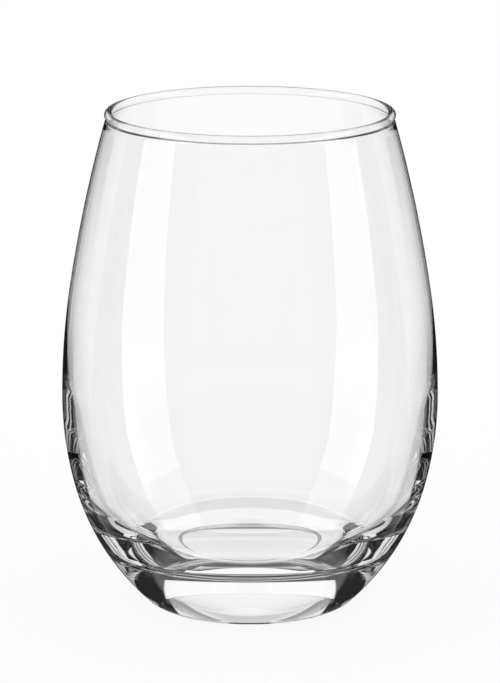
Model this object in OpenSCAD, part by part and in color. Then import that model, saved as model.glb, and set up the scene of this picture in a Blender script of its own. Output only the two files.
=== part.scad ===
// Stemless wine glass, blown and finished in one piece.
// A thin wall runs down from a rounded rim, swells smoothly past the belly into
// a thick, heavy base, and stands on a narrow ring round a shallow hollow.
// Each skin is a chain of arcs, every arc tangent to the next, turned about Z.
// Z = 0 is the table and the Z axis is the axis of the glass. Sizes are in mm.

/* [Outer skin] */
// Largest outside diameter of the bowl
belly_diameter = 89; // [86:0.5:94]
// Height of that largest diameter above the table
belly_height = 50; // [47:0.5:54]
// How far the shoulder, where the longer neck arc takes over, lies above the belly
shoulder_rise = 26; // [22:0.5:30]
// How far the skin has drawn in at the shoulder, measured on the radius
shoulder_draw_in = 1.95; // [1.8:0.05:2.6]
// Height of the flank, where the tighter base arc takes over from the belly's arc
flank_height = 30; // [27:0.5:33]
// How far the skin has drawn in at the flank, measured on the radius
flank_draw_in = 2.5; // [2:0.1:3.4]
// Radius of the rounding between the base arc and the foot
heel_radius = 5.6; // [4:0.1:7]
// Outside diameter of the ring that touches the table
foot_diameter = 42.6; // [40:0.2:45]

/* [Rim] */
// Height of the glass over all
glass_height = 118.5; // [114:0.5:124]
// Diameter of the rim, measured through the middle of its rounded bead
rim_diameter = 66.2; // [62:0.2:70]
// Thickness of the rounded bead at the rim
bead_thickness = 1.95; // [1.6:0.05:2.4]

/* [Wall] */
// Thickness of the wall where it meets the bead
rim_wall = 0.85; // [0.7:0.05:1.2]
// Thickness of the wall at the shoulder, measured level
shoulder_wall = 1.05; // [0.9:0.05:1.4]
// Difference between the largest outside radius and the largest inside radius
belly_wall = 1.65; // [1.4:0.05:2.2]
// Thickness of the wall at the flank, measured level
flank_wall = 3.6; // [3:0.1:4.6]

/* [Base] */
// Thickness of the base at the middle, from the table to the inside floor
base_thickness = 14.8; // [12:0.1:17]
// Radius of the rounding between the floor and the round of the bowl
floor_rounding = 7.5; // [5:0.5:10]
// Thickness of the glass round that rounding, measured level through its middle
corner_wall = 7; // [6:0.1:8.5]
// Depth of the hollow under the base at its middle
hollow_depth = 1.5; // [1.4:0.1:2.4]
// Depth of the step by which the ring that the glass stands on falls below the hollow
step_depth = 0.9; // [0.7:0.1:1.2]
// Width of the flat ring that the glass stands on
foot_ring_width = 2.9; // [2:0.1:4]
// Radius of the rounding between that ring and the step
ring_rounding = 0.8; // [0.7:0.1:1.2]
// Radius of the rounding between the step and the hollow
step_rounding = 0.8; // [0.7:0.1:1.2]

/* [Fineness] */
// Greatest gap between the outline and the true arcs
outline_gap = 0.004; // [0.002:0.001:0.02]
// Number of sides round the glass in a mesh of it
turn_sides = 180; // [96:4:360]

/* [Hidden] */

clear_glass = [0.86, 0.9, 0.9, 0.35];

bead_radius = bead_thickness / 2;
bead_height = glass_height - bead_radius;
rim_radius = rim_diameter / 2;
belly_radius = belly_diameter / 2;

// An arc is [middle, radius, first slope, last slope]. A slope is the angle of
// the outward normal above the level, so a skin runs from -90 at its foot
// through 0 at its widest place to a small angle at the rim. A radius below
// zero is an arc that bends the other way.

// Direction of the outward normal at a slope
function outward(slope) = [cos(slope), sin(slope)];

// Square of the length of a step
function square_of(step) = step * step;

// Radius of the arc that leaves a point at a slope and passes through another
function radius_through(from, slope, point) =
    square_of(from - point) / (2 * (from - point) * outward(slope));

// The arc that leaves a point at a slope and ends at another point
function arc_through(from, slope, point) =
    let (
        radius = radius_through(from, slope, point),
        middle = from - radius * outward(slope)
    )
    [middle, radius, slope, asin((point[1] - middle[1]) / radius)];

// The point where an arc ends
function arc_end(arc) = arc[0] + arc[1] * outward(arc[3]);

// The arc that carries another on from its end until it is tangent to a
// rounding inside it
function arc_onto(arc, round_middle, rounding) =
    let (
        from = arc_end(arc),
        step = from - round_middle,
        reach = step * outward(arc[3]) - rounding,
        radius = (square_of(step) - square_of(rounding)) / (2 * reach),
        middle = from - radius * outward(arc[3]),
        way = sign(radius - rounding) * (round_middle - middle)
    )
    [middle, radius, arc[3], atan2(way[1], way[0])];

// An arc run from its end to its start
function turned_back(arc) = [arc[0], arc[1], arc[3], arc[2]];

// The arcs of one skin from its foot up to its widest place, going up
function lower_arcs(foot, rounding, flank, widest) =
    let (
        round_middle = foot + [0, rounding],
        lower = arc_through(widest, 0, flank),
        base = arc_onto(lower, round_middle, rounding)
    )
    [[round_middle, rounding, -90, base[3]], turned_back(base), turned_back(lower)];

// The arcs of one skin from its widest place up to its mouth, going up
function upper_arcs(widest, shoulder, mouth) =
    let (belly = arc_through(widest, 0, shoulder))
    [belly, arc_through(shoulder, belly[3], mouth)];

// Radius of a skin at a height, on the arc whose stretch holds that height
function skin_radius(arcs, height) =
    let (
        held = [for (arc = arcs) if (height <= arc_end(arc)[1]) arc],
        arc = held[0]
    )
    arc[0][0] + sign(arc[1]) * sqrt(square_of(arc[1]) - square_of(height - arc[0][1]));

// Points along an arc, close enough together for the greatest gap allowed
function arc_points(arc) =
    let (
        turn = arc[3] - arc[2],
        widest_turn = 2 * acos(1 - outline_gap / abs(arc[1])),
        steps = max(1, ceil(abs(turn) / widest_turn))
    )
    [for (i = [1:steps]) arc[0] + arc[1] * outward(arc[2] + turn * i / steps)];

// Points of a whole skin from its foot to its mouth
function skin_points(foot, arcs) = concat([foot], [for (arc = arcs) each arc_points(arc)]);

// The outer skin
outer_foot = [foot_diameter / 2, 0];
outer_widest = [belly_radius, belly_height];
outer_flank = [belly_radius - flank_draw_in, flank_height];
outer_shoulder = outer_widest + [-shoulder_draw_in, shoulder_rise];
outer_mouth = [rim_radius + rim_wall / 2, bead_height];
outer_upper = upper_arcs(outer_widest, outer_shoulder, outer_mouth);
outer_lower = lower_arcs(outer_foot, heel_radius, outer_flank, outer_widest);
outer_skin = concat(outer_lower, outer_upper);

// The inner skin runs along the outer one at the shoulder, and the glass below
// it thickens steadily, so the widest place inside lies above the belly
inner_shoulder = outer_shoulder - [shoulder_wall, 0];
shoulder_slope = outer_upper[0][3];
inner_belly_radius = belly_radius - belly_wall;
inner_arc_radius = (inner_belly_radius - inner_shoulder[0]) / (1 - cos(shoulder_slope));
inner_widest = [inner_belly_radius, inner_shoulder[1] - inner_arc_radius * sin(shoulder_slope)];
inner_flank = outer_flank - [flank_wall, 0];
inner_mouth = [rim_radius - rim_wall / 2, bead_height];
corner_height = base_thickness + floor_rounding;
floor_radius = skin_radius(outer_skin, corner_height) - corner_wall - floor_rounding;
inner_foot = [floor_radius, base_thickness];
inner_lower = lower_arcs(inner_foot, floor_rounding, inner_flank, inner_widest);
inner_skin = concat(inner_lower, upper_arcs(inner_widest, inner_shoulder, inner_mouth));

// The hollow underneath is a shallow dome, and a rounded step leads from it down
// to the ring
ring_middle = [foot_diameter / 2 - foot_ring_width, ring_rounding];
step_reach = ring_rounding + step_rounding;
step_fall = step_reach - step_depth;
step_run = sqrt(square_of(step_reach) - square_of(step_fall));
step_middle = [ring_middle[0] - step_run, step_depth - step_rounding];
step_slope = atan2(step_fall, step_run);
dome_rise = hollow_depth - step_depth;
dome_radius = (square_of(step_middle - [0, hollow_depth]) - square_of(step_rounding))
    / (2 * dome_rise);
dome_middle = [0, hollow_depth - dome_radius];
dome_way = step_middle - dome_middle;
dome_slope = atan2(dome_way[1], dome_way[0]);
dome = [dome_middle, dome_radius, 90, dome_slope];
step = [step_middle, step_rounding, dome_slope, step_slope];
ring = [ring_middle, ring_rounding, step_slope - 180, -90];

// Half section of the glass, from the axis out along the hollow and the foot,
// up the outside, down the inside and back along the floor
module half_section() {
    outside = skin_points(outer_foot, outer_skin);
    inside = skin_points(inner_foot, inner_skin);
    polygon(concat(
        [[0, hollow_depth]],
        arc_points(dome),
        arc_points(step),
        arc_points(ring),
        outside,
        [for (i = [len(inside) - 1:-1:0]) inside[i]],
        [[0, base_thickness]]
    ));
}

// The whole glass: one turned body with its rim melted to a round bead
module glass() {
    color(clear_glass)
    rotate_extrude($fn = turn_sides) {
        half_section();
        translate([rim_radius, bead_height]) circle(r = bead_radius);
    }
}

glass();
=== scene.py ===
import math

import bpy
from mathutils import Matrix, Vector


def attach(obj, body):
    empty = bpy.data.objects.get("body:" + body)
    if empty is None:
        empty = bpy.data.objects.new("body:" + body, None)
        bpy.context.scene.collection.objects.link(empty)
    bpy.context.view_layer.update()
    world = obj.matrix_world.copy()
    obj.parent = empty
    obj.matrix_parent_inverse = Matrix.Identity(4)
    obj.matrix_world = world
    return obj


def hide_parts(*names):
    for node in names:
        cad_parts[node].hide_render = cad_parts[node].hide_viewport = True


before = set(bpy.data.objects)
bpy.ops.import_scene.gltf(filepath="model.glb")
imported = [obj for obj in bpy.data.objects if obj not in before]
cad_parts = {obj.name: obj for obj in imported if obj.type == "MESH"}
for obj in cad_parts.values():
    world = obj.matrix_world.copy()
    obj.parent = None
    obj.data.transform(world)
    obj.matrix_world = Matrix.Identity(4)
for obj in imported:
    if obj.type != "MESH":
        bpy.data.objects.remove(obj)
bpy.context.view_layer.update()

# The glass is one piece of clear glass, blown in a mould. Its two skins are chains
# of arcs, each tangent to the next, and they close in a melted bead at the rim
# and in a ring round a shallow hollow under the base. Sizes are in metres.
glass_height = 0.1185
rim_radius = 0.0331
rim_wall = 0.00085
bead_radius = 0.000975
bead_middle = Vector((rim_radius, glass_height - bead_radius))
half_rim_wall = Vector((rim_wall / 2, 0))


def outward(slope):
    """Direction of a skin's outward normal, from its slope above the level."""
    return Vector((math.cos(slope), math.sin(slope)))


def arc(middle, radius, first, last):
    """An arc, held by the slopes of its first and its last normal."""
    return {"middle": middle, "radius": radius, "first": first, "last": last}


def arc_through(start, slope, point):
    """The arc that leaves start at a slope and ends at point."""
    chord = start - point
    radius = chord.dot(chord) / (2 * chord.dot(outward(slope)))
    middle = start - radius * outward(slope)
    return arc(middle, radius, slope, math.asin((point.y - middle.y) / radius))


def arc_end(piece):
    return piece["middle"] + piece["radius"] * outward(piece["last"])


def arc_onto(lower, round_middle, rounding):
    """The arc that carries lower on until it is tangent to a rounding inside it."""
    start = arc_end(lower)
    chord = start - round_middle
    reach = chord.dot(outward(lower["last"])) - rounding
    radius = (chord.dot(chord) - rounding ** 2) / (2 * reach)
    middle = start - radius * outward(lower["last"])
    way = round_middle - middle
    return arc(middle, radius, lower["last"], math.atan2(way.y, way.x))


def turned_back(piece):
    return arc(piece["middle"], piece["radius"], piece["last"], piece["first"])


def lower_arcs(foot, rounding, flank, widest):
    """The arcs of a skin from its foot up to its widest place."""
    round_middle = foot + Vector((0, rounding))
    lower = arc_through(widest, 0, flank)
    base = arc_onto(lower, round_middle, rounding)
    heel = arc(round_middle, rounding, -math.pi / 2, base["last"])
    return [heel, turned_back(base), turned_back(lower)]


def upper_arcs(widest, shoulder, mouth):
    """The arcs of a skin from its widest place up to its mouth."""
    belly = arc_through(widest, 0, shoulder)
    return [belly, arc_through(shoulder, belly["last"], mouth)]


# Outside, the glass swells from the heel to the belly and draws in to the rim.
foot_radius = 0.0213
heel_radius = 0.0056
flank_height = 0.030
flank_draw_in = 0.0025
belly_radius = 0.0445
belly_height = 0.050
shoulder_rise = 0.026
shoulder_draw_in = 0.00195
outer_foot = Vector((foot_radius, 0))
outer_flank = Vector((belly_radius - flank_draw_in, flank_height))
outer_widest = Vector((belly_radius, belly_height))
outer_shoulder = outer_widest + Vector((-shoulder_draw_in, shoulder_rise))
outer_upper = upper_arcs(outer_widest, outer_shoulder, bead_middle + half_rim_wall)
outer_skin = lower_arcs(outer_foot, heel_radius, outer_flank, outer_widest) + outer_upper

# Inside, the skin runs along the outer one at the shoulder. Below it the wall
# thickens steadily and ends in the heavy base.
shoulder_wall = 0.00105
belly_wall = 0.00165
flank_wall = 0.0036
corner_wall = 0.007
floor_rounding = 0.0075
base_thickness = 0.0148


def skin_radius(pieces, height):
    """Radius of a skin at a height, on the arc whose stretch holds that height."""
    held = [piece for piece in pieces if height <= arc_end(piece).y][0]
    rise = height - held["middle"].y
    return held["middle"].x + math.sqrt(held["radius"] ** 2 - rise ** 2)


inner_shoulder = outer_shoulder - Vector((shoulder_wall, 0))
shoulder_slope = outer_upper[0]["last"]
inner_belly_radius = belly_radius - belly_wall
inner_arc_radius = (inner_belly_radius - inner_shoulder.x) / (1 - math.cos(shoulder_slope))
inner_widest = Vector((inner_belly_radius,
                       inner_shoulder.y - inner_arc_radius * math.sin(shoulder_slope)))
inner_flank = outer_flank - Vector((flank_wall, 0))
corner_radius = skin_radius(outer_skin, base_thickness + floor_rounding) - corner_wall
inner_foot = Vector((corner_radius - floor_rounding, base_thickness))
inner_skin = (lower_arcs(inner_foot, floor_rounding, inner_flank, inner_widest)
              + upper_arcs(inner_widest, inner_shoulder, bead_middle - half_rim_wall))

# Underneath, a shallow dome leads over a rounded step down to the ring that the
# glass stands on.
foot_ring_width = 0.0029
ring_rounding = 0.0008
step_rounding = 0.0008
step_depth = 0.0009
hollow_depth = 0.0015
ring_middle = Vector((foot_radius - foot_ring_width, ring_rounding))
step_reach = ring_rounding + step_rounding
step_fall = step_reach - step_depth
step_run = math.sqrt(step_reach ** 2 - step_fall ** 2)
step_middle = Vector((ring_middle.x - step_run, step_depth - step_rounding))
step_slope = math.atan2(step_fall, step_run)
crown = Vector((0, hollow_depth))
crown_way = step_middle - crown
dome_rise = hollow_depth - step_depth
dome_radius = (crown_way.dot(crown_way) - step_rounding ** 2) / (2 * dome_rise)
dome_middle = Vector((0, hollow_depth - dome_radius))
dome_way = step_middle - dome_middle
dome_slope = math.atan2(dome_way.y, dome_way.x)
hollow = [arc(dome_middle, dome_radius, math.pi / 2, dome_slope),
          arc(step_middle, step_rounding, dome_slope, step_slope),
          arc(ring_middle, ring_rounding, step_slope - math.pi, -math.pi / 2)]

# The bead takes over from each skin where the skin first reaches it, and the
# outline runs from the hollow up the outside, over the bead and back down inside.
arc_steps = 24


def arc_points(pieces):
    points = []
    for piece in pieces:
        turn = (piece["last"] - piece["first"]) / arc_steps
        points += [piece["middle"] + piece["radius"] * outward(piece["first"] + turn * i)
                   for i in range(1, arc_steps + 1)]
    return points


def below_bead(points):
    return [point for point in points if (point - bead_middle).length > bead_radius]


outside = below_bead([outer_foot] + arc_points(outer_skin))
inside = below_bead([inner_foot] + arc_points(inner_skin))
bead_start = outside[-1] - bead_middle
bead_stop = inside[-1] - bead_middle
bead = arc(bead_middle, bead_radius, math.atan2(bead_start.y, bead_start.x),
           math.atan2(bead_stop.y, bead_stop.x) % (2 * math.pi))
floor = [Vector((inner_foot.x * i / arc_steps, base_thickness))
         for i in range(arc_steps - 1, -1, -1)]
outline = [crown] + arc_points(hollow) + outside + arc_points([bead]) + inside[::-1] + floor


def turned_glass(name, points, sides):
    """A closed skin turned about Z from an outline that starts and ends on the axis."""
    too_near = 1e-7
    kept = [points[0]]
    for point in points[1:]:
        if (point - kept[-1]).length > too_near:
            kept.append(point)
    verts = [(0, 0, kept[0].y)]
    for point in kept[1:-1]:
        for i in range(sides):
            angle = 2 * math.pi * i / sides
            verts.append((point.x * math.cos(angle), point.x * math.sin(angle), point.y))
    verts.append((0, 0, kept[-1].y))
    bands = len(kept) - 3
    faces = []
    for i in range(sides):
        after = (i + 1) % sides
        faces.append((0, 1 + after, 1 + i))
        for band in range(bands):
            low = 1 + band * sides
            high = low + sides
            faces.append((low + i, low + after, high + after, high + i))
        last = 1 + bands * sides
        faces.append((last + i, last + after, len(verts) - 1))
    mesh = bpy.data.meshes.new(name)
    mesh.from_pydata(verts, [], faces)
    mesh.shade_smooth()
    return mesh


turn_sides = 256
glass = bpy.data.objects.new("glass_body", turned_glass("glass_body", outline, turn_sides))
bpy.context.scene.collection.objects.link(glass)

# Clear glass: cords in the melt tint it by a hair, handling leaves the faintest
# haze, and the skin is never quite even.
clear_glass = bpy.data.materials.new("clear_glass")
clear_glass.use_nodes = True
glass_nodes = clear_glass.node_tree.nodes
glass_links = clear_glass.node_tree.links
glass_shader = glass_nodes["Principled BSDF"]
glass_shader.inputs["IOR"].default_value = 1.52
glass_shader.inputs["Transmission Weight"].default_value = 1
glass_place = glass_nodes.new("ShaderNodeTexCoord")


def cloud(scale, detail):
    """Soft noise through the glass."""
    noise = glass_nodes.new("ShaderNodeTexNoise")
    noise.inputs["Scale"].default_value = scale
    noise.inputs["Detail"].default_value = detail
    glass_links.new(glass_place.outputs["Object"], noise.inputs["Vector"])
    return noise.outputs["Fac"]


cords = glass_nodes.new("ShaderNodeValToRGB")
cords.color_ramp.elements[0].color = (0.986, 0.99, 0.989, 1)
cords.color_ramp.elements[1].color = (1, 1, 1, 1)
glass_links.new(cloud(scale=35, detail=1), cords.inputs["Fac"])
glass_links.new(cords.outputs["Color"], glass_shader.inputs["Base Color"])

haze = glass_nodes.new("ShaderNodeMapRange")
haze.inputs["From Min"].default_value = 0.45
haze.inputs["From Max"].default_value = 0.8
haze.inputs["To Max"].default_value = 0.012
glass_links.new(cloud(scale=60, detail=2), haze.inputs["Value"])
glass_links.new(haze.outputs["Result"], glass_shader.inputs["Roughness"])

ripple = glass_nodes.new("ShaderNodeBump")
ripple.inputs["Strength"].default_value = 0.018
ripple.inputs["Distance"].default_value = 0.0004
glass_links.new(cloud(scale=45, detail=0), ripple.inputs["Height"])
glass_links.new(ripple.outputs["Normal"], glass_shader.inputs["Normal"])

glass.data.materials.append(clear_glass)
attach(glass, "root")
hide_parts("glass")

# The camera looks slightly down on the glass through a long lens from one metre
# away, so that the rim and the floor show as flat ellipses.
view_down = math.radians(13.24)
view_distance = 1.0
aim_height = 0.063
camera_data = bpy.data.cameras.new("camera")
camera_data.lens = 222.9
camera_data.sensor_width = 36
camera = bpy.data.objects.new("camera", camera_data)
camera.location = (0, -view_distance * math.cos(view_down),
                   aim_height + view_distance * math.sin(view_down))
camera.rotation_euler = (math.pi / 2 - view_down, 0, 0)
bpy.context.scene.collection.objects.link(camera)
bpy.context.scene.camera = camera
bpy.context.scene.view_settings.view_transform = "Standard"

# Light is mirrored many times in the thick wall and the base before it comes out.
light_bounces = 32
light_paths = bpy.context.scene.cycles
light_paths.max_bounces = light_bounces
light_paths.transmission_bounces = light_bounces
light_paths.glossy_bounces = light_bounces

# The studio is white wherever the eye looks past the glass. What the glass itself
# mirrors is a dark room with glowing panels on both sides alike, and how often the
# light has been mirrored on its way tells which of the panels it meets.
studio = bpy.data.worlds.new("studio")
bpy.context.scene.world = studio
studio.use_nodes = True
studio.cycles.sampling_method = "NONE"
studio_nodes = studio.node_tree.nodes
studio_links = studio.node_tree.links
backdrop = studio_nodes["Background"]
backdrop.inputs["Color"].default_value = (1, 1, 1, 1)


def calc(operation, first, second=None, clamp=False):
    """A Math node that takes sockets and plain numbers alike."""
    node = studio_nodes.new("ShaderNodeMath")
    node.operation = operation
    node.use_clamp = clamp
    for socket, value in zip(node.inputs, (first, second)):
        if isinstance(value, (int, float)):
            socket.default_value = value
        elif value is not None:
            studio_links.new(value, socket)
    return node.outputs[0]


# A direction's side angle counts from straight in front of the glass, either way
# round to straight behind it, and its rise angle counts from the level up.
studio_place = studio_nodes.new("ShaderNodeTexCoord")
direction = studio_nodes.new("ShaderNodeSeparateXYZ")
studio_links.new(studio_place.outputs["Generated"], direction.inputs[0])
across, along, up = direction.outputs
side_angle = calc("ABSOLUTE", calc("ARCTAN2", across, calc("MULTIPLY", along, -1)))
level = calc("SQRT", calc("ADD", calc("MULTIPLY", across, across),
                          calc("MULTIPLY", along, along)))
rise_angle = calc("ARCTAN2", up, level)


def between(angle, low, high, soft):
    """1 where an angle lies between two others in degrees, with soft edges outside."""
    rising = calc("DIVIDE", calc("SUBTRACT", angle, math.radians(low - soft)),
                  math.radians(soft), clamp=True)
    falling = calc("DIVIDE", calc("SUBTRACT", math.radians(high + soft), angle),
                   math.radians(soft), clamp=True)
    return calc("MULTIPLY", rising, falling)


def panel(glow, sides, heights, side_soft=1, height_soft=3, lean=0, tilt=0):
    """A glowing panel between two side angles and two rise angles in degrees. Its
    sides may lean out with height, and its ends may tilt."""
    leaning = calc("SUBTRACT", side_angle, calc("MULTIPLY", rise_angle, lean))
    tilting = calc("ADD", rise_angle, calc("MULTIPLY", side_angle, tilt))
    return calc("MULTIPLY", calc("MULTIPLY", between(leaning, *sides, side_soft),
                                 between(tilting, *heights, height_soft)), glow)


room_glow = 0.02


def lit_room(*panels):
    """The dark room with its panels, the brightest of them wherever they overlap."""
    glow = room_glow
    for one in panels:
        glow = calc("MAXIMUM", glow, one)
    return glow


# The ends of the two angles lie a little past the last real direction, so that no
# panel's soft edge shows there.
ahead, behind = -10, 190
under, over = -95, 95
table_glow = panel(1, (ahead, behind), (under, -52))

# Straight through the glass all is white but one steep band low behind, which
# draws the lines of the rim.
straight_through = calc("SUBTRACT", 1, panel(0.9, (150, behind), (-69, -59), height_soft=1.5))

# The skin mirrors two tall lights that lean outwards, each above a dimmer stretch,
# then the pale front between them and the walls beside and behind the glass.
off_the_skin = lit_room(
    panel(2.6, (54.8, 86.8), (-14.8, 60), side_soft=0.5, height_soft=0.5, lean=0.42, tilt=0.2),
    panel(1.5, (54.8, 86.8), (-44, 50), side_soft=0.5, lean=0.42),
    panel(0.8, (ahead, 40), (-25, 50), height_soft=8),
    panel(0.6, (38, 60), (-25, 50), height_soft=8),
    panel(0.25, (ahead, 60), (-60, -20), height_soft=10),
    panel(0.25, (70, 112), (-40, 45), height_soft=8),
    panel(0.7, (112, 138), (-28, 45), height_soft=8),
    panel(0.7, (138, 152), (-9, 45), side_soft=3.5, height_soft=3.5),
    table_glow)

# Mirrored once inside the glass, light comes from low sheets all round, from paler
# ones beside the glass and from a white sweep behind, which fills the base.
mirrored_once = lit_room(
    panel(0.8, (ahead, 42), (-60, -8), height_soft=5),
    panel(0.7, (40, 87), (-60, -8), side_soft=6, height_soft=5),
    panel(0.5, (87, 112), (-60, -3)),
    panel(0.8, (112, 159), (-60, -4)),
    panel(0.5, (87, 112), (-3, 30)),
    panel(0.8, (112, 131), (-3, 30)),
    panel(0.8, (160, 173), (-22, 0)),
    panel(1, (152.5, behind), (6, 17.7), height_soft=0.3),
    panel(0.8, (115, behind), (60, over)),
    table_glow)

# Mirrored more often, in the thick wall and the base, it comes from narrow slats
# that draw the bright streaks, and again from the sweep behind.
mirrored_often = lit_room(
    panel(0.6, (7, 8), (-12, 40), lean=0.1),
    panel(0.6, (15.5, 16.5), (-12, 40), lean=-0.1),
    panel(0.7, (24, 26), (-12, 40), lean=0.2),
    panel(0.9, (34, 38), (-12, 40)),
    panel(0.3, (44, 55), (11, 45)),
    panel(0.8, (72, 89), (-30, -11)),
    panel(0.04, (70, 89), (8, 42)),
    panel(0.95, (91, 95), (-24, 22), side_soft=0.5, lean=0.2),
    panel(0.95, (97, 101), (-24, 22), side_soft=0.5, lean=0.2),
    panel(0.95, (103, 108), (-24, 22), side_soft=0.5, lean=0.2),
    panel(0.3, (114, 122), (-24, 22)),
    panel(0.7, (134, 143), (-14, 22)),
    panel(1, (150, behind), (3, 30)),
    panel(0.7, (20, behind), (55, over)),
    table_glow)


def mixed(share, first, second):
    """The first glow where the share is 1 and the second where it is 0."""
    return calc("ADD", calc("MULTIPLY", share, first),
                calc("MULTIPLY", calc("SUBTRACT", 1, share), second))


light_path = studio_nodes.new("ShaderNodeLightPath")
times_mirrored = light_path.outputs["Glossy Depth"]
times_bent = light_path.outputs["Transmission Depth"]
unmirrored = calc("LESS_THAN", times_mirrored, 0.5)
often = calc("GREATER_THAN", times_mirrored, 1.5)
unbent = calc("LESS_THAN", times_bent, 0.5)
outer_glow = mixed(unmirrored, 1, off_the_skin)
inner_glow = mixed(unmirrored, straight_through,
                   mixed(often, mirrored_often, mirrored_once))
studio_links.new(mixed(unbent, outer_glow, inner_glow), backdrop.inputs["Strength"])

# The table is a plain white sheet. It glows almost as bright as the studio and
# catches a little light, so that the glass throws its shadow there. Light that has
# met the glass passes through the sheet and meets the studio's own table instead.
table_reach = 4
table_level = -0.00005
table_mesh = bpy.data.meshes.new("table")
table_mesh.from_pydata([(table_reach * x, table_reach * y, table_level)
                        for x, y in ((-1, -1), (1, -1), (1, 1), (-1, 1))],
                       [], [(0, 1, 2, 3)])
table = bpy.data.objects.new("table", table_mesh)
bpy.context.scene.collection.objects.link(table)

own_glow = 0.88
caught_light = 0.12
white_table = bpy.data.materials.new("white_table")
white_table.use_nodes = True
table_nodes = white_table.node_tree.nodes
table_links = white_table.node_tree.links
table_nodes.clear()
glow = table_nodes.new("ShaderNodeEmission")
glow.inputs["Strength"].default_value = own_glow
paint = table_nodes.new("ShaderNodeBsdfDiffuse")
paint.inputs["Color"].default_value = (caught_light, caught_light, caught_light, 1)
lit_sheet = table_nodes.new("ShaderNodeAddShader")
table_links.new(glow.outputs[0], lit_sheet.inputs[0])
table_links.new(paint.outputs[0], lit_sheet.inputs[1])
no_sheet = table_nodes.new("ShaderNodeBsdfTransparent")
table_light_path = table_nodes.new("ShaderNodeLightPath")
met_glass = table_nodes.new("ShaderNodeMath")
met_glass.operation = "ADD"
met_glass.use_clamp = True
table_links.new(table_light_path.outputs["Glossy Depth"], met_glass.inputs[0])
table_links.new(table_light_path.outputs["Transmission Depth"], met_glass.inputs[1])
sheet = table_nodes.new("ShaderNodeMixShader")
table_links.new(met_glass.outputs[0], sheet.inputs[0])
table_links.new(lit_sheet.outputs[0], sheet.inputs[1])
table_links.new(no_sheet.outputs[0], sheet.inputs[2])
table_output = table_nodes.new("ShaderNodeOutputMaterial")
table_links.new(sheet.outputs[0], table_output.inputs["Surface"])
table_mesh.materials.append(white_table)
